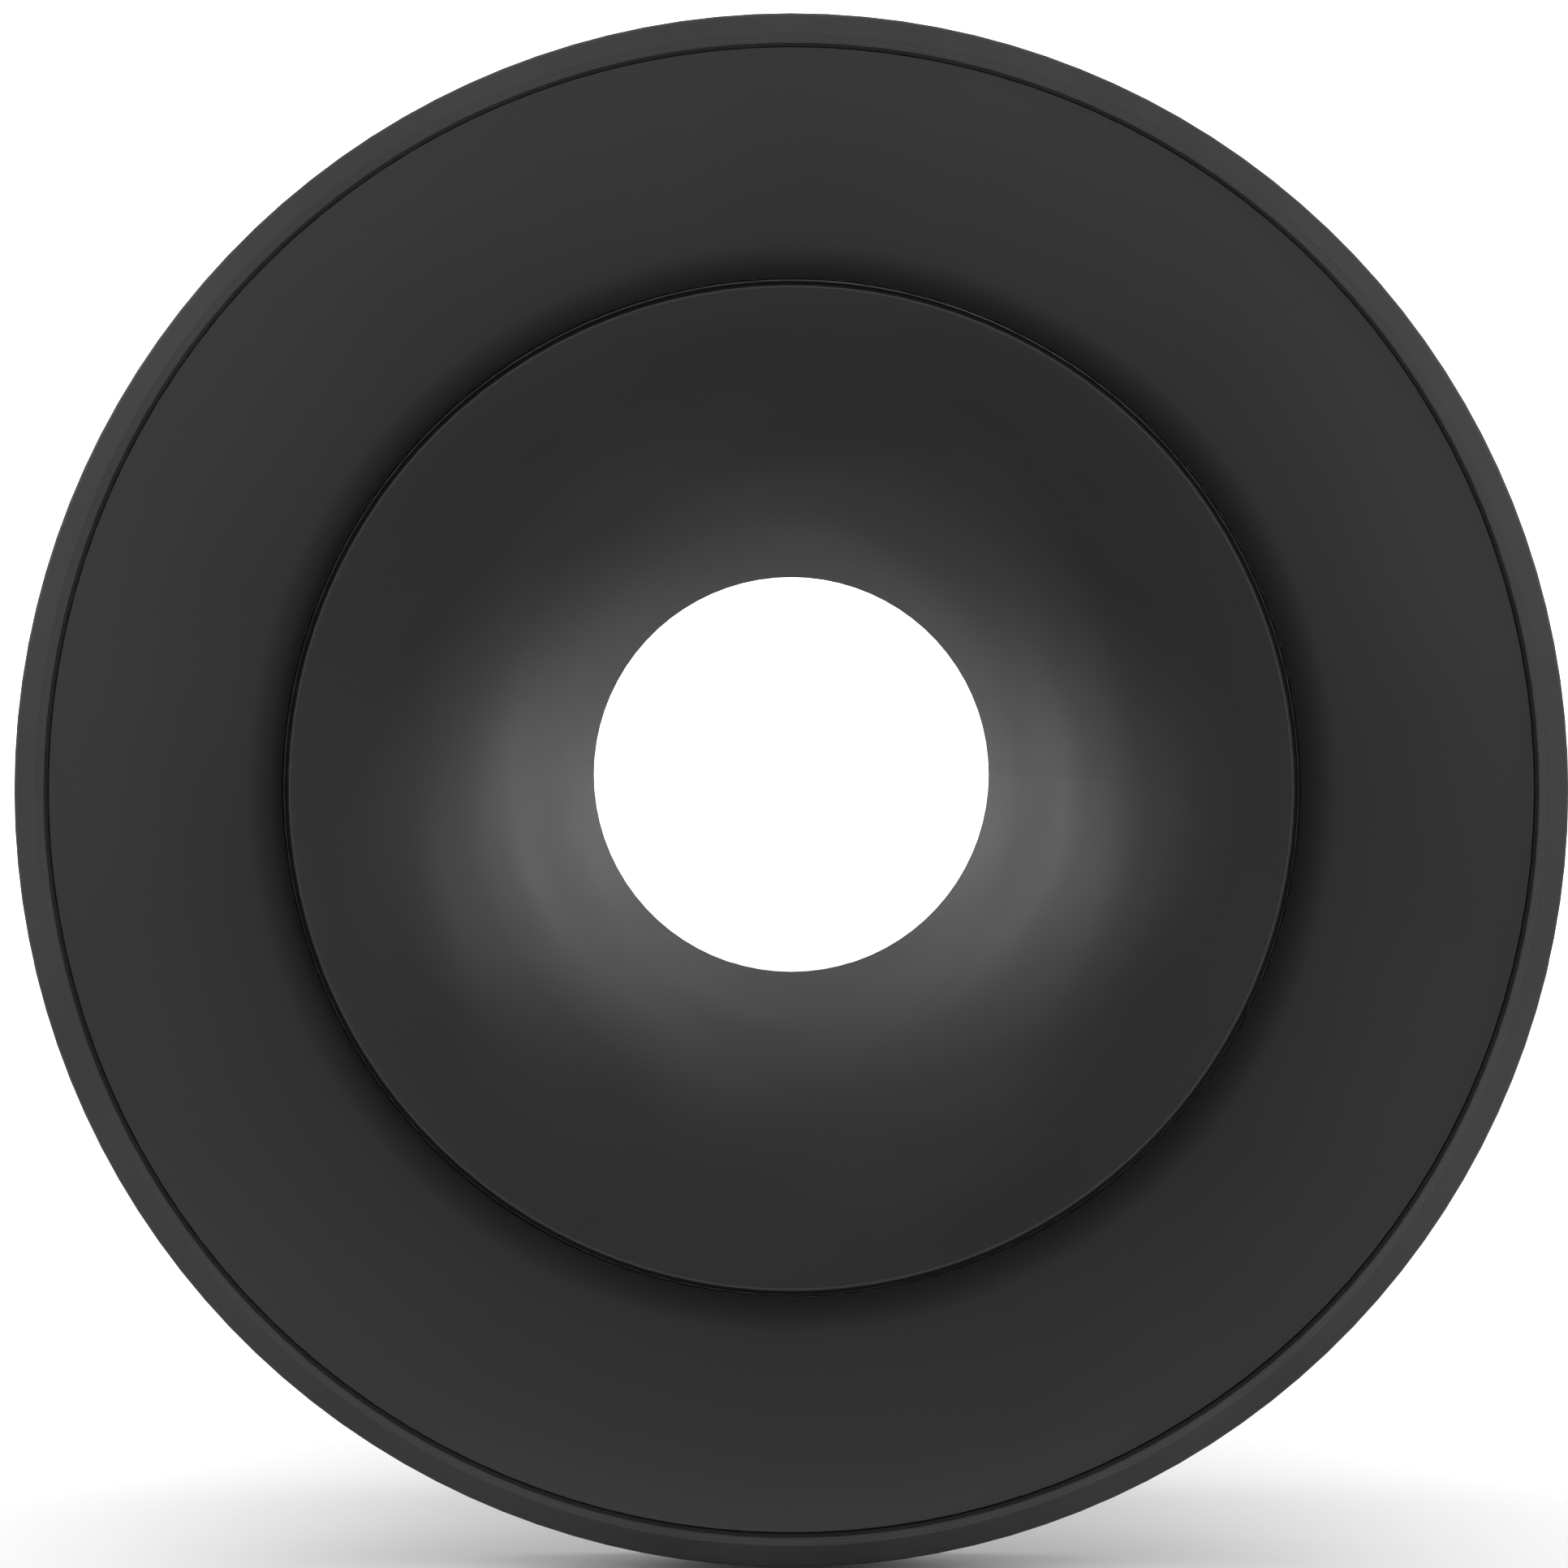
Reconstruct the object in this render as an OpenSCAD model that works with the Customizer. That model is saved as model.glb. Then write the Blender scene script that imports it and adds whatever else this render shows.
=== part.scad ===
// A lighting snoot. A short bell takes the lamp head, and a tapered nozzle slides in a collar on
// the bell's throat. A thumbscrew locks the nozzle, and a ring at its front end seats a grid.
// The light travels along +Y and +Z is up. The origin is the centre of the rim's rear face.

/* [Rim] */
// Outer diameter of the rim
rim_d = 150; // [149:0.5:150.5]
// Bore of the rim's lip, which the lamp's claws grip from inside
lip_d = 144; // [143.5:0.1:144.5]
// Length of the lip's bore
lip_l = 3; // [2:0.5:4]
// Gap behind the lip for the tips of the claws
claw_gap = 2; // [1.5:0.5:2]
// Length of the rim's skirt, from the rear face
skirt_l = 16; // [15:0.5:18]
// Thickness of the skirt
skirt_t = 1.4; // [1.3:0.1:1.5]
// Length of the bevel on the rim's rear face
rim_bevel = 1.1; // [0.8:0.1:1.4]

/* [Bell] */
// Diameter of the bell's mouth, just behind the claw gap
mouth_d = 144.2; // [143.8:0.1:144.4]
// Diameter of the hole in the bell's throat
throat_d = 103.2; // [103:0.1:103.4]
// Length of the bell's cone
bell_l = 26; // [24:0.5:28]
// Thickness of the bell's wall
bell_t = 1.6; // [1.4:0.1:2]
// Diameter of the flange at the throat
flange_d = 133; // [132:1:136]

/* [Collar] */
// Length of the collar
collar_l = 33; // [33:1:40]
// Length of the front part of the collar that guides the slide tube
guide_l = 12; // [12:0.5:14]
// Radial clearance of the sliding fits
slide_gap = 0.05; // [0.02:0.01:0.08]
// Depth and length of the pocket for the light seal
seal_pocket = 2.5; // [2:0.1:3]
// Thickness of the seal's retaining ring
retainer_t = 1.6; // [1.2:0.1:2]

/* [Nozzle] */
// Inner diameter of the nozzle at its rear lip
nozzle_d = 100.6; // [100:0.1:100.8]
// Inner diameter of the nozzle at its exit
exit_d = 50; // [46:1:52]
// Distance from the rim's rear face to the nozzle's rear lip
nozzle_y0 = 26; // [24:0.5:28]
// Distance from the rim's rear face to the nozzle's exit
nozzle_y1 = 190; // [180:1:200]
// Thickness of the nozzle's wall
nozzle_t = 1.2; // [1:0.1:1.3]
// Outer diameter of the slide tube
tube_d = 105.2; // [105:0.1:105.4]

/* [Front ring] */
// Diameter of the seat for a grid
seat_d = 60; // [58:0.5:62]
// Depth of the seat
seat_l = 12; // [10:0.5:16]
// Outer diameter of the front ring
front_d = 67.6; // [67:0.2:72]

/* [Lock] */
// Diameter of the thumbscrew's shank
lock_d = 5; // [4:0.5:5]
// Diameter of the knob
knob_d = 22; // [18:1:24]
// Height of the knob's grip
knob_h = 8.4; // [7:0.2:9]
// Number of finger lobes on the knob
knob_lobes = 8; // [6:1:10]

/* [Hidden] */
$fn = 120;

// Rim and bell: radii, and distances along the axis from the rim's rear face
rim_r = rim_d / 2;
lip_r = lip_d / 2;
skirt_r = rim_r - skirt_t;
rim_flat = 0.8;
rim_edge = 0.2;
bell_y0 = lip_l + claw_gap;
bell_y1 = bell_y0 + bell_l;
mouth_r = mouth_d / 2;
throat_r = throat_d / 2;
bell_slope = (mouth_r - throat_r) / bell_l;
bell_dr = bell_t * sqrt(1 + bell_slope * bell_slope);
bell_edge_r = mouth_r + 0.9;
band_t = 1.8;
band_r = skirt_r - band_t;
// Distance along the axis at which the bell's outer face has a given radius
function bell_y(radius) = bell_y0 + (mouth_r + bell_dr - radius) / bell_slope;
band_y1 = skirt_l - 1;
flange_r = flange_d / 2;
flange_t = 2;
flange_y = bell_y1 + flange_t;

// Nozzle: outer radius of its wall at a distance y along the axis
nozzle_slope = (nozzle_d - exit_d) / 2 / (nozzle_y1 - nozzle_y0);
nozzle_dr = nozzle_t * sqrt(1 + nozzle_slope * nozzle_slope);
function nozzle_r(y) = nozzle_d / 2 - (y - nozzle_y0) * nozzle_slope + nozzle_dr;
lip_edge = 0.2;
lip_taper = 2.5;
stop_y = flange_y + 0.5;
stop_t = 3;
tube_r = tube_d / 2;
tube_t = 1.4;
tube_y0 = stop_y + stop_t;
tube_y1 = flange_y + collar_l + 8;
stop_r = tube_r + 1.45;
support_l = 4;
support_cap = 2;

// Collar
collar_y1 = flange_y + collar_l;
guide_y = collar_y1 - guide_l;
collar_flange_t = 3;
barrel_r = tube_r + 5.4;
band_out_r = barrel_r + 1.5;
seal_r = tube_r + 2.6;
seal_gap = 0.3;
seal_clear = 0.1;

// Front ring
front_r = front_d / 2;
seat_r = seat_d / 2;
front_y0 = nozzle_y1 - 10;
front_y1 = nozzle_y1 + seat_l;

// Fasteners
rim_screw = [1.5, 4.1, 2.8, 1.3];
rim_screw_y = 11;
rim_screw_count = 6;
collar_screw_r = 1.5;
collar_screw_l = 8.4;
collar_head = [2.75, 2];
collar_screw_circle = barrel_r + 4.5;
collar_screw_count = 6;
nut_flat_r = 5.5 / 2;
nut_h = 2.4;
small_screw = [1, 5, 1.9, 0.9];
retainer_circle = tube_r + 4.7;
retainer_count = 4;
ring_screw = [1.25, 5, 2.3, 1.1];
tube_screw_y = tube_y1 - 2;
tube_screw_count = 4;
front_screw = [1.25, 7.8, 2.3, 1.1];
front_screw_y = front_y0 + 7.5;
front_screw_count = 4;
sink = 0.12;

// Grid springs
spring_count = 3;
spring_w = 8.4;
spring_t = 0.6;
spring_y = [nozzle_y1 + 2, nozzle_y1 + seat_l - 2];
spring_room = 0.3;
rivet_r = 0.9;
rivet_y = spring_y[1] - 2.2;

// Lock: radii from the nozzle's axis, on the spoke that points up
lock_y = collar_y1 - 7.5;
lock_spoke = -90;
lock_r = lock_d / 2;
pad_r = lock_r - 0.3;
pad_base = tube_r + 0.35;
pad_l = 4;
shank_base = pad_base + pad_l + 0.05;
boss_r = 6.5;
boss_top = barrel_r + 7.5;
insert_r = 4;
insert_base = tube_r + 0.7;
insert_head = [5.2, 0.7];
washer_base = boss_top + insert_head[1] + 0.4;
washer_t = 1;
knob_base = washer_base + washer_t;
knob_neck = 2;
knob_r = knob_d / 2;
knob_top = knob_base + knob_neck + knob_h;
cap_r = 7;
cap_t = 1;

black = [0.05, 0.05, 0.055];
soft_black = [0.09, 0.09, 0.1];
steel = [0.6, 0.61, 0.63];
brass_tone = [0.75, 0.6, 0.3];
nylon_tone = [0.85, 0.85, 0.8];

// Turns shapes that were drawn round +Z so that their +Z runs along +Y
module along_y() {
    rotate([-90, 0, 0]) children();
}

// A solid of revolution round the nozzle's axis, from points [radius, distance along the axis]
module turned(points) {
    rotate_extrude() polygon(points);
}

// Copies at equal angles round the axis
module around(count, first) {
    for (i = [0 : count - 1])
        rotate([0, 0, first + i * 360 / count]) children();
}

// Places a shape at a radius and a distance y, with its own +Z pointing outwards
module on_spoke(radius, y) {
    translate([radius, 0, y]) rotate([0, 90, 0]) children();
}

// A countersunk screw with its flat top at z = 0; size is [shank radius, length, head radius, head depth]
module sunk_screw(size) {
    difference() {
        union() {
            translate([0, 0, -size[1]]) cylinder(h = size[1], r = size[0]);
            translate([0, 0, -size[3]]) cylinder(h = size[3], r1 = size[0], r2 = size[2]);
        }
        translate([0, 0, -size[3] * 0.6]) cylinder(h = size[3], r = size[0] * 0.75, $fn = 6);
    }
}

// The hole that a countersunk screw fills, open above its head
module sunk_hole(size) {
    translate([0, 0, -size[1]]) cylinder(h = size[1], r = size[0]);
    translate([0, 0, -size[3]]) cylinder(h = size[3], r1 = size[0], r2 = size[2]);
    cylinder(h = 2, r = size[2]);
}

module rim_screw_spots() {
    around(rim_screw_count, 30) on_spoke(rim_r - sink, rim_screw_y) children();
}

module retainer_screw_spots() {
    around(retainer_count, 45) translate([retainer_circle, 0, collar_y1 + retainer_t]) children();
}

module tube_screw_spots() {
    around(tube_screw_count, 45) on_spoke(tube_r - sink, tube_screw_y) children();
}

module front_screw_spots() {
    around(front_screw_count, 45) on_spoke(front_r - sink, front_screw_y) children();
}

module collar_screw_spots() {
    around(collar_screw_count, 0) translate([collar_screw_circle, 0, 0]) children();
}

module spring_spots() {
    around(spring_count, 90) children();
}

module rim_ring() {
    color(soft_black) along_y() difference() {
        turned([
            [lip_r, 0], [lip_r + rim_flat, 0], [rim_r - rim_edge, rim_bevel],
            [rim_r, rim_bevel + rim_edge], [rim_r, skirt_l - rim_edge],
            [rim_r - rim_edge, skirt_l], [skirt_r, skirt_l], [skirt_r, lip_l], [lip_r, lip_l]
        ]);
        rim_screw_spots() sunk_hole(rim_screw);
    }
}

module bell_shell() {
    color(black) along_y() turned([
        [mouth_r, bell_y0], [bell_edge_r, bell_y(bell_edge_r)], [throat_r + bell_dr, bell_y1],
        [throat_r, bell_y1]
    ]);
}

module bell_band() {
    color(black) along_y() difference() {
        turned([
            [band_r, bell_y(band_r)], [skirt_r, bell_y(skirt_r)], [skirt_r, band_y1],
            [band_r, band_y1]
        ]);
        rim_screw_spots() sunk_hole(rim_screw);
    }
}

module throat_flange() {
    color(black) along_y() difference() {
        turned([
            [throat_r, bell_y1], [flange_r, bell_y1], [flange_r, flange_y], [throat_r, flange_y]
        ]);
        collar_screw_spots() translate([0, 0, bell_y1 - 1])
            cylinder(h = flange_t + 2, r = collar_screw_r + 0.1);
    }
}

module rim_screws() {
    color(steel) along_y() rim_screw_spots() sunk_screw(rim_screw);
}

module neck_collar() {
    color(soft_black) along_y() difference() {
        union() {
            turned([
                [throat_r, flange_y], [flange_r, flange_y],
                [flange_r, flange_y + collar_flange_t], [barrel_r, flange_y + collar_flange_t],
                [barrel_r, guide_y - 1.5], [band_out_r, guide_y], [band_out_r, collar_y1],
                [throat_r, collar_y1]
            ]);
            rotate([0, 0, lock_spoke]) on_spoke(barrel_r - 2, lock_y)
                cylinder(h = boss_top - barrel_r + 2, r = boss_r);
        }
        turned([
            [0, flange_y - 1], [stop_r + slide_gap, flange_y - 1], [stop_r + slide_gap, guide_y],
            [tube_r + slide_gap, guide_y], [tube_r + slide_gap, collar_y1 - seal_pocket],
            [seal_r, collar_y1 - seal_pocket], [seal_r, collar_y1 + 1], [0, collar_y1 + 1]
        ]);
        rotate([0, 0, lock_spoke]) on_spoke(tube_r - 2, lock_y)
            cylinder(h = boss_top - tube_r + 4, r = insert_r);
        collar_screw_spots() translate([0, 0, flange_y - 1])
            cylinder(h = collar_flange_t + 2, r = collar_screw_r + 0.1);
        retainer_screw_spots() sunk_hole(small_screw);
    }
}

module collar_screws() {
    color(steel) along_y() collar_screw_spots() translate([0, 0, flange_y + collar_flange_t])
        difference() {
            union() {
                cylinder(h = collar_head[1], r = collar_head[0]);
                translate([0, 0, -collar_screw_l]) cylinder(h = collar_screw_l, r = collar_screw_r);
            }
            translate([0, 0, collar_head[1] - 1.2]) cylinder(h = 2, r = 1.3, $fn = 6);
        }
}

module collar_nuts() {
    color(steel) along_y() collar_screw_spots() translate([0, 0, bell_y1 - nut_h]) difference() {
        cylinder(h = nut_h, r = nut_flat_r / cos(30), $fn = 6);
        translate([0, 0, -1]) cylinder(h = nut_h + 2, r = collar_screw_r);
    }
}

module light_seal() {
    color([0.12, 0.12, 0.12]) along_y() turned([
        [tube_r + seal_gap, collar_y1 - seal_pocket + seal_clear],
        [seal_r - seal_clear, collar_y1 - seal_pocket + seal_clear],
        [seal_r - seal_clear, collar_y1 - seal_clear], [tube_r + seal_gap, collar_y1 - seal_clear]
    ]);
}

module seal_retainer() {
    color(soft_black) along_y() difference() {
        turned([
            [tube_r + seal_gap, collar_y1], [band_out_r, collar_y1],
            [band_out_r, collar_y1 + retainer_t - 0.5],
            [band_out_r - 0.5, collar_y1 + retainer_t], [tube_r + seal_gap, collar_y1 + retainer_t]
        ]);
        retainer_screw_spots() sunk_hole(small_screw);
    }
}

module retainer_screws() {
    color(steel) along_y() retainer_screw_spots() sunk_screw(small_screw);
}

module lock_insert() {
    color(brass_tone) along_y() rotate([0, 0, lock_spoke]) on_spoke(0, lock_y) difference() {
        union() {
            translate([0, 0, insert_base]) cylinder(h = boss_top - insert_base, r = insert_r);
            translate([0, 0, boss_top]) cylinder(h = insert_head[1], r = insert_head[0]);
        }
        translate([0, 0, insert_base - 1]) cylinder(h = 20, r = lock_r + slide_gap);
    }
}

module nozzle_cone() {
    color(black) along_y() difference() {
        turned([
            [nozzle_d / 2, nozzle_y0], [nozzle_d / 2 + lip_edge, nozzle_y0],
            [nozzle_r(nozzle_y0 + lip_taper), nozzle_y0 + lip_taper],
            [nozzle_r(nozzle_y1), nozzle_y1], [exit_d / 2, nozzle_y1]
        ]);
        front_screw_spots() sunk_hole(front_screw);
    }
}

module slide_tube() {
    color(soft_black) along_y() difference() {
        turned([
            [tube_r - tube_t, tube_y0], [tube_r, tube_y0], [tube_r, tube_y1],
            [tube_r - tube_t, tube_y1]
        ]);
        tube_screw_spots() sunk_hole(ring_screw);
    }
}

module stop_ring() {
    color(soft_black) along_y() turned([
        [nozzle_r(stop_y), stop_y], [stop_r, stop_y], [stop_r, tube_y0], [nozzle_r(tube_y0), tube_y0]
    ]);
}

module support_ring() {
    color(soft_black) along_y() difference() {
        turned([
            [nozzle_r(tube_y1 - support_l), tube_y1 - support_l],
            [tube_r - tube_t, tube_y1 - support_l], [tube_r - tube_t, tube_y1], [tube_r, tube_y1],
            [tube_r, tube_y1 + support_cap / 2], [tube_r - 1, tube_y1 + support_cap],
            [nozzle_r(tube_y1 + support_cap), tube_y1 + support_cap]
        ]);
        tube_screw_spots() sunk_hole(ring_screw);
    }
}

module tube_screws() {
    color(steel) along_y() tube_screw_spots() sunk_screw(ring_screw);
}

module front_ring() {
    color(soft_black) along_y() difference() {
        turned([
            [nozzle_r(front_y0), front_y0], [nozzle_r(front_y0) + 1.8, front_y0],
            [front_r, front_y0 + 4], [front_r, front_y1 - 1.2], [front_r - 1.2, front_y1],
            [seat_r + 0.6, front_y1], [seat_r, front_y1 - 0.6], [seat_r, nozzle_y1],
            [nozzle_r(nozzle_y1), nozzle_y1]
        ]);
        front_screw_spots() sunk_hole(front_screw);
        spring_spots() {
            translate([0, 0, spring_y[0] - spring_room])
                spring_blank(seat_r - 1, seat_r + spring_t + spring_room, spring_w + 2 * spring_room,
                    spring_y[1] - spring_y[0] + 2 * spring_room);
            on_spoke(seat_r, rivet_y) cylinder(h = front_r, r = rivet_r);
        }
    }
}

module front_ring_screws() {
    color(steel) along_y() front_screw_spots() sunk_screw(front_screw);
}

// A curved plate between two radii, of a given width and length, centred on the spoke
module spring_blank(inner, outer, width, length) {
    intersection() {
        difference() {
            cylinder(h = length, r = outer);
            translate([0, 0, -1]) cylinder(h = length + 2, r = inner);
        }
        translate([0, -width / 2, 0]) cube([outer + 1, width, length]);
    }
}

module grid_springs() {
    color(steel) along_y() spring_spots() difference() {
        translate([0, 0, spring_y[0]])
            spring_blank(seat_r + 0.1, seat_r + 0.1 + spring_t, spring_w, spring_y[1] - spring_y[0]);
        on_spoke(seat_r - 1, rivet_y) cylinder(h = 4, r = rivet_r);
    }
}

module spring_rivets() {
    color(steel) along_y() spring_spots() on_spoke(0, rivet_y) {
        translate([0, 0, seat_r + 0.1]) cylinder(h = front_r - seat_r - 0.1, r = rivet_r);
        translate([0, 0, front_r]) cylinder(h = 0.6, r1 = 1.6, r2 = 1.1);
    }
}

module lock_pad() {
    color(nylon_tone) along_y() rotate([0, 0, lock_spoke]) on_spoke(pad_base, lock_y)
        cylinder(h = pad_l, r = pad_r);
}

module lock_shank() {
    color(steel) along_y() rotate([0, 0, lock_spoke]) on_spoke(shank_base, lock_y)
        cylinder(h = knob_top - 2 - shank_base, r = lock_r);
}

module lock_washer() {
    color(steel) along_y() rotate([0, 0, lock_spoke]) on_spoke(washer_base, lock_y) difference() {
        cylinder(h = washer_t, r = 5.5);
        translate([0, 0, -1]) cylinder(h = washer_t + 2, r = lock_r);
    }
}

module lock_knob() {
    color(soft_black) along_y() rotate([0, 0, lock_spoke]) on_spoke(knob_base, lock_y)
        difference() {
            rotate_extrude() polygon([
                [0, 0], [6, 0], [6, knob_neck], [knob_r - 1, knob_neck], [knob_r, knob_neck + 1],
                [knob_r, knob_neck + knob_h - 1.2], [knob_r - 1.2, knob_neck + knob_h],
                [0, knob_neck + knob_h]
            ]);
            around(knob_lobes, 0) translate([knob_r + 1.5, 0, knob_neck - 1])
                cylinder(h = knob_h + 2, r = 2.8);
            translate([0, 0, -1]) cylinder(h = knob_top - 2 - knob_base + 1, r = lock_r);
            translate([0, 0, knob_neck + knob_h - cap_t]) cylinder(h = cap_t + 1, r = cap_r);
        }
}

module knob_cap() {
    color(black) along_y() rotate([0, 0, lock_spoke]) on_spoke(knob_top - cap_t, lock_y)
        rotate_extrude() polygon([
            [0, 0], [cap_r - 0.1, 0], [cap_r - 0.1, cap_t], [cap_r - 0.6, cap_t + 0.4],
            [0, cap_t + 0.4]
        ]);
}

rim_ring();
bell_shell();
bell_band();
rim_screws();
throat_flange();
neck_collar();
collar_screws();
collar_nuts();
light_seal();
seal_retainer();
retainer_screws();
lock_insert();
nozzle_cone();
slide_tube();
stop_ring();
support_ring();
tube_screws();
front_ring();
front_ring_screws();
grid_springs();
spring_rivets();
lock_pad();
lock_shank();
lock_washer();
lock_knob();
knob_cap();
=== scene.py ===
"""Looks, floor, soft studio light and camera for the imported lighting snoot."""
import math

import bpy
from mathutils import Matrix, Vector


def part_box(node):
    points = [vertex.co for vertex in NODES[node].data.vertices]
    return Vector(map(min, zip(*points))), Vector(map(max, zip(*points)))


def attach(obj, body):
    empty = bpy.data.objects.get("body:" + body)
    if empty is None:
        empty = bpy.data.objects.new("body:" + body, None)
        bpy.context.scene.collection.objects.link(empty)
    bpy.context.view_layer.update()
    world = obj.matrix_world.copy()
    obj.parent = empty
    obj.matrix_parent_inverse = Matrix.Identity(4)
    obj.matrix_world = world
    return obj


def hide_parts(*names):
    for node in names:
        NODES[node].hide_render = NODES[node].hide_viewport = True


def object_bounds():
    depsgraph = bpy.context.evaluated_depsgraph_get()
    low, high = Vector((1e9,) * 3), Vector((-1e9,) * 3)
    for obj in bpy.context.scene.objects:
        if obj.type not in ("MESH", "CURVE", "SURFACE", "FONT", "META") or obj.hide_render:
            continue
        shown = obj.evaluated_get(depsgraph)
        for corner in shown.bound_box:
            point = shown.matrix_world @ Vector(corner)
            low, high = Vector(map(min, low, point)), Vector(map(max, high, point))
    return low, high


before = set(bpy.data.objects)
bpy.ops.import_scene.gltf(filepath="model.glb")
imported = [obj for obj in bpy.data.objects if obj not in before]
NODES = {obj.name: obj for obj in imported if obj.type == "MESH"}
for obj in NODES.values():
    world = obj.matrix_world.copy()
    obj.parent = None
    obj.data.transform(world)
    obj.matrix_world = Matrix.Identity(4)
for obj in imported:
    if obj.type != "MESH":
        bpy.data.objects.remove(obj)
CAD_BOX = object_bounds()

LOW, HIGH = CAD_BOX
RIM_RADIUS = (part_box("rim_ring")[1].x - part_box("rim_ring")[0].x) / 2
LENGTH = HIGH.y - LOW.y
MM = 0.001

# Two points (y, radius) on the middle of a cone's wall, in millimetres
BELL_WALL = ((5, 72.9), (31, 52.6))
NOZZLE_WALL = ((26, 50.9), (190, 25.6))
# Tone and roughness of the powder coat on the outside
POWDER = (0.011, 0.46)

# The lock's thread: one turn climbs one pitch, as the lock's joints do
THREAD_PITCH = 1 * MM
THREAD_DEPTH = 0.5 * MM
THREAD_LENGTH = 13 * MM

# The camera's distance and height, and the point it looks at, in rim radii from the rim's centre
CAMERA_BACK, CAMERA_UP = 8, 0.089
AIM_LEFT, AIM_UP = 0.0093, 0.0093


# ---------------------------------------------------------------- node helpers


class Shader:
    """A material's node tree, with short ways to add the nodes that the finishes share."""

    def __init__(self, name):
        self.material = bpy.data.materials.new(name)
        self.material.use_nodes = True
        self.tree = self.material.node_tree
        self.surface = self.tree.nodes["Principled BSDF"]
        self.place = self.add("ShaderNodeTexCoord").outputs["Object"]

    def add(self, kind, **values):
        node = self.tree.nodes.new(kind)
        for key, value in values.items():
            setattr(node, key, value)
        return node

    def link(self, source, target):
        self.tree.links.new(source, target)

    def set(self, **values):
        """Sets the surface's own sockets, with _ in a name for a space."""
        for key, value in values.items():
            self.surface.inputs[key.replace("_", " ")].default_value = value

    def math(self, operation, first, second=0.0):
        node = self.add("ShaderNodeMath", operation=operation)
        for socket, value in zip(node.inputs, (first, second)):
            if isinstance(value, (int, float)):
                socket.default_value = value
            else:
                self.link(value, socket)
        return node.outputs[0]

    def noise(self, size, detail=3.0):
        """Noise from 0 to 1 whose features are about size metres across."""
        node = self.add("ShaderNodeTexNoise")
        node.inputs["Scale"].default_value = 1 / size
        node.inputs["Detail"].default_value = detail
        self.link(self.place, node.inputs["Vector"])
        return node.outputs["Fac"]

    def ramp(self, value, low, high, to_low=0.0, to_high=1.0):
        """Maps value from low..high to to_low..to_high, and clamps it there."""
        node = self.add("ShaderNodeMapRange")
        for name, number in (
            ("From Min", low),
            ("From Max", high),
            ("To Min", to_low),
            ("To Max", to_high),
        ):
            node.inputs[name].default_value = number
        self.link(value, node.inputs["Value"])
        return node.outputs["Result"]

    def blend(self, amount, first, second):
        """A colour that goes from first to second as amount goes from 0 to 1."""
        node = self.add("ShaderNodeMix", data_type="RGBA")
        self.link(amount, node.inputs["Factor"])
        node.inputs["A"].default_value = (*first, 1)
        node.inputs["B"].default_value = (*second, 1)
        return node.outputs["Result"]

    def radius(self):
        """Distance from the nozzle's axis, which is the Y axis, and distance along it."""
        split = self.add("ShaderNodeSeparateXYZ")
        self.link(self.place, split.inputs[0])
        across = self.math("MULTIPLY", split.outputs["X"], split.outputs["X"])
        up = self.math("MULTIPLY", split.outputs["Z"], split.outputs["Z"])
        return self.math("SQRT", self.math("ADD", across, up)), split.outputs["Y"]

    def turning_marks(self, pitch):
        """Fine rings, as a lathe tool or a spinning roller leaves them, from 0 to 1."""
        radius, along = self.radius()
        wobble = self.math("MULTIPLY", self.noise(9 * MM), pitch * 1.5)
        path = self.math("ADD", self.math("ADD", radius, along), wobble)
        wave = self.math("SINE", self.math("MULTIPLY", path, 2 * math.pi / pitch))
        return self.math("MULTIPLY", self.math("ADD", wave, 1.0), 0.5)

    def bump(self, height, strength, distance, below=None):
        node = self.add("ShaderNodeBump")
        node.inputs["Strength"].default_value = strength
        node.inputs["Distance"].default_value = distance
        self.link(height, node.inputs["Height"])
        if below is not None:
            self.link(below, node.inputs["Normal"])
        return node.outputs["Normal"]

    def soft_edges(self, radius):
        """A normal that rounds sharp edges off to this radius."""
        node = self.add("ShaderNodeBevel", samples=4)
        node.inputs["Radius"].default_value = radius
        return node.outputs["Normal"]

    def finish(self, colour, roughness, normal):
        self.link(colour, self.surface.inputs["Base Color"])
        self.link(roughness, self.surface.inputs["Roughness"])
        self.link(normal, self.surface.inputs["Normal"])
        return self.material


# ---------------------------------------------------------------- finishes


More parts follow.
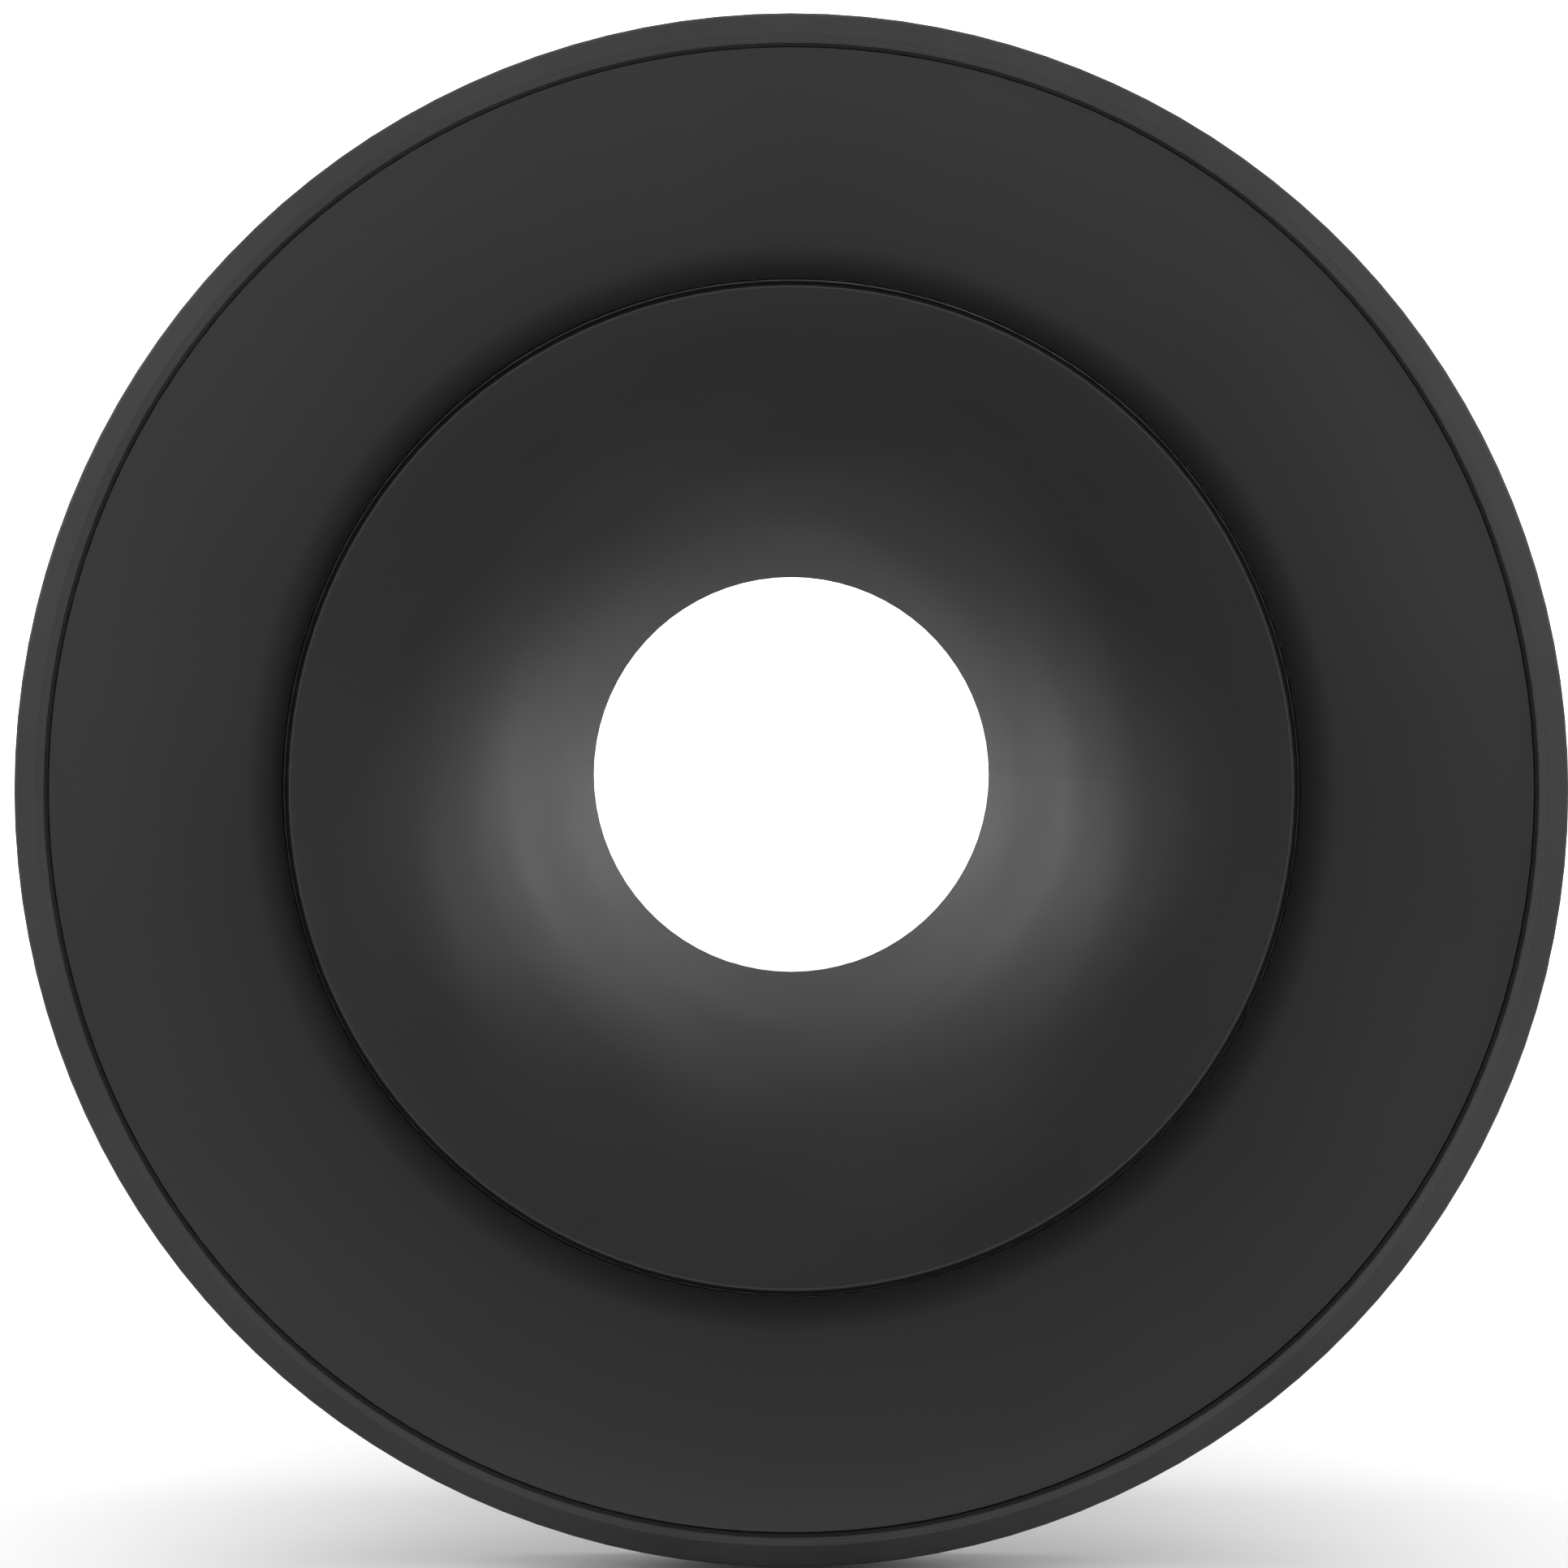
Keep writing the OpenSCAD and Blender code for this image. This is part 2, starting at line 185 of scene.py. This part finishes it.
def shell_black(name, wall, inside, outside):
    """Spun metal: smooth black inside, and a darker, finely textured powder coat outside.

    wall is as BELL_WALL, inside is (tone, roughness, shine) and outside is (tone, roughness).
    """
    tone_drift, rough_drift = 0.002, 0.05
    s = Shader(name)
    (y0, r0), (y1, r1) = wall
    slope = (r1 - r0) / (y1 - y0)
    radius, along = s.radius()
    middle = s.math("ADD", s.math("MULTIPLY", along, slope), (r0 - y0 * slope) * MM)
    outer = s.ramp(s.math("SUBTRACT", radius, middle), -0.1 * MM, 0.1 * MM)
    cloud = s.ramp(s.noise(55 * MM, 2), 0.35, 0.65)
    tone = s.math("ADD", s.ramp(outer, 0, 1, inside[0], outside[0]), s.math("MULTIPLY", cloud, tone_drift))
    colour = s.add("ShaderNodeCombineColor")
    for channel, tint in (("Red", 0.99), ("Green", 1.0), ("Blue", 1.01)):
        s.link(s.math("MULTIPLY", tone, tint), colour.inputs[channel])
    uneven = s.math("MULTIPLY", s.ramp(s.noise(30 * MM, 4), 0.3, 0.7), rough_drift)
    roughness = s.math("ADD", s.ramp(outer, 0, 1, inside[1], outside[1]), uneven)
    texture = s.bump(s.math("MULTIPLY", s.noise(0.8 * MM, 2), outer), 0.5, 0.06 * MM)
    grain = s.bump(s.noise(0.35 * MM, 2), 0.10, 0.02 * MM, texture)
    marks = s.bump(s.turning_marks(0.9 * MM), 0.05, 0.01 * MM, grain)
    s.set(Specular_IOR_Level=inside[2])
    return s.finish(colour.outputs[0], roughness, marks)


def turned_black(name, tone, pitch, rough=0.34, shine=0.5):
    """Turned metal, anodised black, with fine tool marks, softly rounded edges and a tone that drifts at
    random a little lighter.
    """
    s = Shader(name)
    rings = s.turning_marks(pitch * MM)
    cloud = s.ramp(s.noise(18 * MM, 3), 0.35, 0.65)
    colour = s.blend(cloud, (tone, tone, tone), (tone * 1.35, tone * 1.33, tone * 1.3))
    roughness = s.ramp(rings, 0, 1, rough, rough + 0.12)
    normal = s.bump(rings, 0.22, 0.02 * MM, s.soft_edges(0.25 * MM))
    s.set(Specular_IOR_Level=shine)
    return s.finish(colour, roughness, normal)


def moulded_black():
    """Moulded plastic with a fine spark-eroded grain."""
    s = Shader("moulded_black")
    grain = s.noise(0.5 * MM, 3)
    colour = s.blend(s.ramp(grain, 0.3, 0.7), (0.016, 0.016, 0.017), (0.026, 0.026, 0.027))
    roughness = s.ramp(s.noise(4 * MM, 3), 0.3, 0.7, 0.5, 0.62)
    return s.finish(colour, roughness, s.bump(grain, 0.35, 0.05 * MM, s.soft_edges(0.4 * MM)))


def metal(name, dark, light, rough):
    """Bare or plated metal with fine uneven streaks."""
    s = Shader(name)
    streak = s.ramp(s.noise(0.8 * MM, 4), 0.3, 0.7)
    colour = s.blend(streak, dark, light)
    roughness = s.ramp(s.noise(2 * MM, 3), 0.3, 0.7, rough, rough + 0.12)
    s.set(Metallic=1.0)
    return s.finish(colour, roughness, s.bump(streak, 0.12, 0.02 * MM, s.soft_edges(0.12 * MM)))


def nylon():
    """Natural nylon, slightly waxy."""
    s = Shader("nylon")
    cloud = s.ramp(s.noise(3 * MM, 3), 0.3, 0.7)
    colour = s.blend(cloud, (0.68, 0.66, 0.58), (0.78, 0.76, 0.69))
    roughness = s.ramp(cloud, 0, 1, 0.38, 0.5)
    s.set(Subsurface_Weight=0.15, Subsurface_Scale=1 * MM)
    return s.finish(colour, roughness, s.bump(s.noise(0.3 * MM), 0.1, 0.02 * MM))


def felt():
    """Pressed black felt."""
    s = Shader("felt")
    fibres = s.noise(0.25 * MM, 6)
    colour = s.blend(s.ramp(fibres, 0.3, 0.7), (0.006, 0.006, 0.006), (0.03, 0.03, 0.03))
    roughness = s.ramp(fibres, 0.3, 0.7, 0.85, 1.0)
    s.set(Sheen_Weight=0.3, Sheen_Roughness=0.5)
    return s.finish(colour, roughness, s.bump(fibres, 0.8, 0.15 * MM))


def paint(material, *names):
    """Gives CAD nodes this material."""
    for name in names:
        slots = NODES[name].data.materials
        slots.clear()
        slots.append(material)


paint(
    shell_black("bell_black", BELL_WALL, (0.03, 0.38, 0.5), POWDER),
    "bell_shell", "bell_band", "throat_flange",
)
paint(shell_black("nozzle_black", NOZZLE_WALL, (0.036, 0.68, 0.12), POWDER), "nozzle_cone")
paint(turned_black("rim_black", 0.016, 0.32, 0.5, 0.28), "rim_ring")
paint(
    turned_black("collar_black", 0.014, 0.5),
    "neck_collar", "seal_retainer", "slide_tube", "stop_ring", "support_ring", "front_ring",
)
paint(moulded_black(), "lock_knob", "knob_cap")
paint(
    metal("black_oxide", (0.03, 0.03, 0.032), (0.06, 0.06, 0.062), 0.32),
    "rim_screws", "collar_screws", "retainer_screws", "tube_screws", "front_ring_screws",
)
ZINC = metal("zinc_plate", (0.45, 0.46, 0.48), (0.6, 0.61, 0.62), 0.25)
paint(ZINC, "collar_nuts", "lock_shank", "lock_washer", "spring_rivets")
paint(metal("blued_spring", (0.16, 0.17, 0.2), (0.24, 0.25, 0.28), 0.3), "grid_springs")
paint(metal("plain_brass", (0.6, 0.42, 0.17), (0.72, 0.53, 0.25), 0.22), "lock_insert")
paint(nylon(), "lock_pad")
paint(felt(), "light_seal")


# ---------------------------------------------------------------- the lock's thread


def thread_depth(height, angle):
    """Depth of a right-hand thread below its crest, with a chamfered tip at height 0."""
    chamfer = 0.5 * MM
    crest_share, flank_share = 0.2, 0.6
    tip = max(0.0, chamfer - height)
    if height > THREAD_LENGTH:
        return tip
    phase = (height / THREAD_PITCH - angle / (2 * math.pi)) % 1
    flank = min(max((abs(phase - 0.5) * 2 - crest_share) / flank_share, 0.0), 1.0)
    return max(tip, THREAD_DEPTH * flank)


def threaded_shank():
    """The thumbscrew's shank with a real helical thread."""
    low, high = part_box("lock_shank")
    crest = (high.x - low.x) / 2
    x, y = (low.x + high.x) / 2, (low.y + high.y) / 2
    sides, step = 40, 0.125 * MM
    rings = int((high.z - low.z) / step)
    points, faces = [], []
    for ring in range(rings + 1):
        height = (high.z - low.z) * ring / rings
        for side in range(sides):
            angle = 2 * math.pi * side / sides
            r = crest - thread_depth(height, angle)
            points.append((x + r * math.cos(angle), y + r * math.sin(angle), low.z + height))
    for ring in range(rings):
        for side in range(sides):
            a, b = ring * sides + side, ring * sides + (side + 1) % sides
            faces.append((a, b, b + sides, a + sides))
    faces.append(tuple(reversed(range(sides))))
    faces.append(tuple(range(rings * sides, (rings + 1) * sides)))
    mesh = bpy.data.meshes.new("lock_shank_thread")
    mesh.from_pydata(points, [], faces)
    mesh.materials.append(ZINC)
    mesh.polygons.foreach_set("use_smooth", [len(f.vertices) == 4 for f in mesh.polygons])
    shank = bpy.data.objects.new("lock_shank_thread", mesh)
    bpy.context.scene.collection.objects.link(shank)
    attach(shank, "thumbscrew")
    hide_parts("lock_shank")


threaded_shank()


# ---------------------------------------------------------------- floor, light and camera


def stage_plane(name, corners, material):
    """A flat rectangle that isn't part of the object."""
    mesh = bpy.data.meshes.new(name)
    mesh.from_pydata(corners, [], [(0, 1, 2, 3)])
    mesh.materials.append(material)
    obj = bpy.data.objects.new(name, mesh)
    bpy.context.scene.collection.objects.link(obj)


def floor():
    """A plain pale floor just under the object."""
    half = 4.0
    z = LOW.z - 0.5 * MM
    s = Shader("floor_white")
    colour = s.blend(s.noise(0.4, 2), (0.75, 0.75, 0.75), (0.78, 0.78, 0.78))
    roughness = s.ramp(s.noise(0.2, 2), 0.3, 0.7, 0.8, 0.9)
    material = s.finish(colour, roughness, s.bump(s.noise(0.05), 0.02, MM))
    corners = [(-half, -half, z), (half, -half, z), (half, half, z), (-half, half, z)]
    stage_plane("floor", corners, material)


def backdrop(brightness):
    """A plain lit backdrop in front of the exit, which shows white through the nozzle."""
    y = LOW.y + 7.5 * LENGTH
    half = 1.4
    s = Shader("backdrop_white")
    s.set(Emission_Color=(1, 1, 1, 1), Emission_Strength=brightness)
    colour = s.blend(s.noise(0.4, 2), (0.8, 0.8, 0.8), (0.82, 0.82, 0.82))
    material = s.finish(colour, s.ramp(s.noise(0.2), 0, 1, 0.8, 0.9), s.bump(s.noise(0.05), 0.02, MM))
    corners = [(-half, y, LOW.z), (half, y, LOW.z), (half, y, 1.2), (-half, y, 1.2)]
    stage_plane("backdrop", corners, material)


def softbox(name, place, target, width, height, power):
    """A rectangular studio light that faces its target."""
    light = bpy.data.lights.new(name, "AREA")
    light.shape = "RECTANGLE"
    light.size, light.size_y = width, height
    light.energy = power
    obj = bpy.data.objects.new(name, light)
    obj.location = place
    aim = Vector(target) - Vector(place)
    obj.rotation_euler = aim.to_track_quat("-Z", "Y").to_euler()
    bpy.context.scene.collection.objects.link(obj)
    obj.visible_camera = False


def surround(brightness):
    """Even white light from all round."""
    world = bpy.data.worlds.new("white_room")
    bpy.context.scene.world = world
    world.use_nodes = True
    background = world.node_tree.nodes["Background"]
    background.inputs["Color"].default_value = (1, 1, 1, 1)
    background.inputs["Strength"].default_value = brightness


def camera():
    """Looks straight into the mouth from the lamp's side, from just above the axis."""
    data = bpy.data.cameras.new("camera")
    data.sensor_width = 36
    data.lens = 143.07
    data.clip_start, data.clip_end = 0.01, 50
    obj = bpy.data.objects.new("camera", data)
    obj.location = (0, -CAMERA_BACK * RIM_RADIUS, CAMERA_UP * RIM_RADIUS)
    aim = Vector((-AIM_LEFT * RIM_RADIUS, 0, AIM_UP * RIM_RADIUS)) - obj.location
    obj.rotation_euler = aim.to_track_quat("-Z", "Y").to_euler()
    bpy.context.scene.collection.objects.link(obj)
    bpy.context.scene.camera = obj


floor()
backdrop(1.2)
surround(0.78)
softbox("over_the_rim", (0, 0.12, 0.9), (0, 0, 0.07), 1.0, 0.4, 3.5)
softbox("left_of_the_rim", (-0.85, 0.16, 0.42), (-0.07, 0, 0), 0.4, 0.6, 4.5)
softbox("right_of_the_rim", (0.85, 0.16, 0.42), (0.07, 0, 0), 0.4, 0.6, 4)
softbox("low_front", (0.25, -1.1, -0.03), (0, 0, 0.05), 0.8, 0.08, 4.0)
softbox("behind_left", (-0.75, 1.2, 0.1), (0, 0.1, 0), 0.4, 0.6, 6)
softbox("behind_right", (0.75, 1.2, 0.1), (0, 0.1, 0), 0.4, 0.6, 6)
camera()
bpy.context.scene.view_settings.view_transform = "Standard"
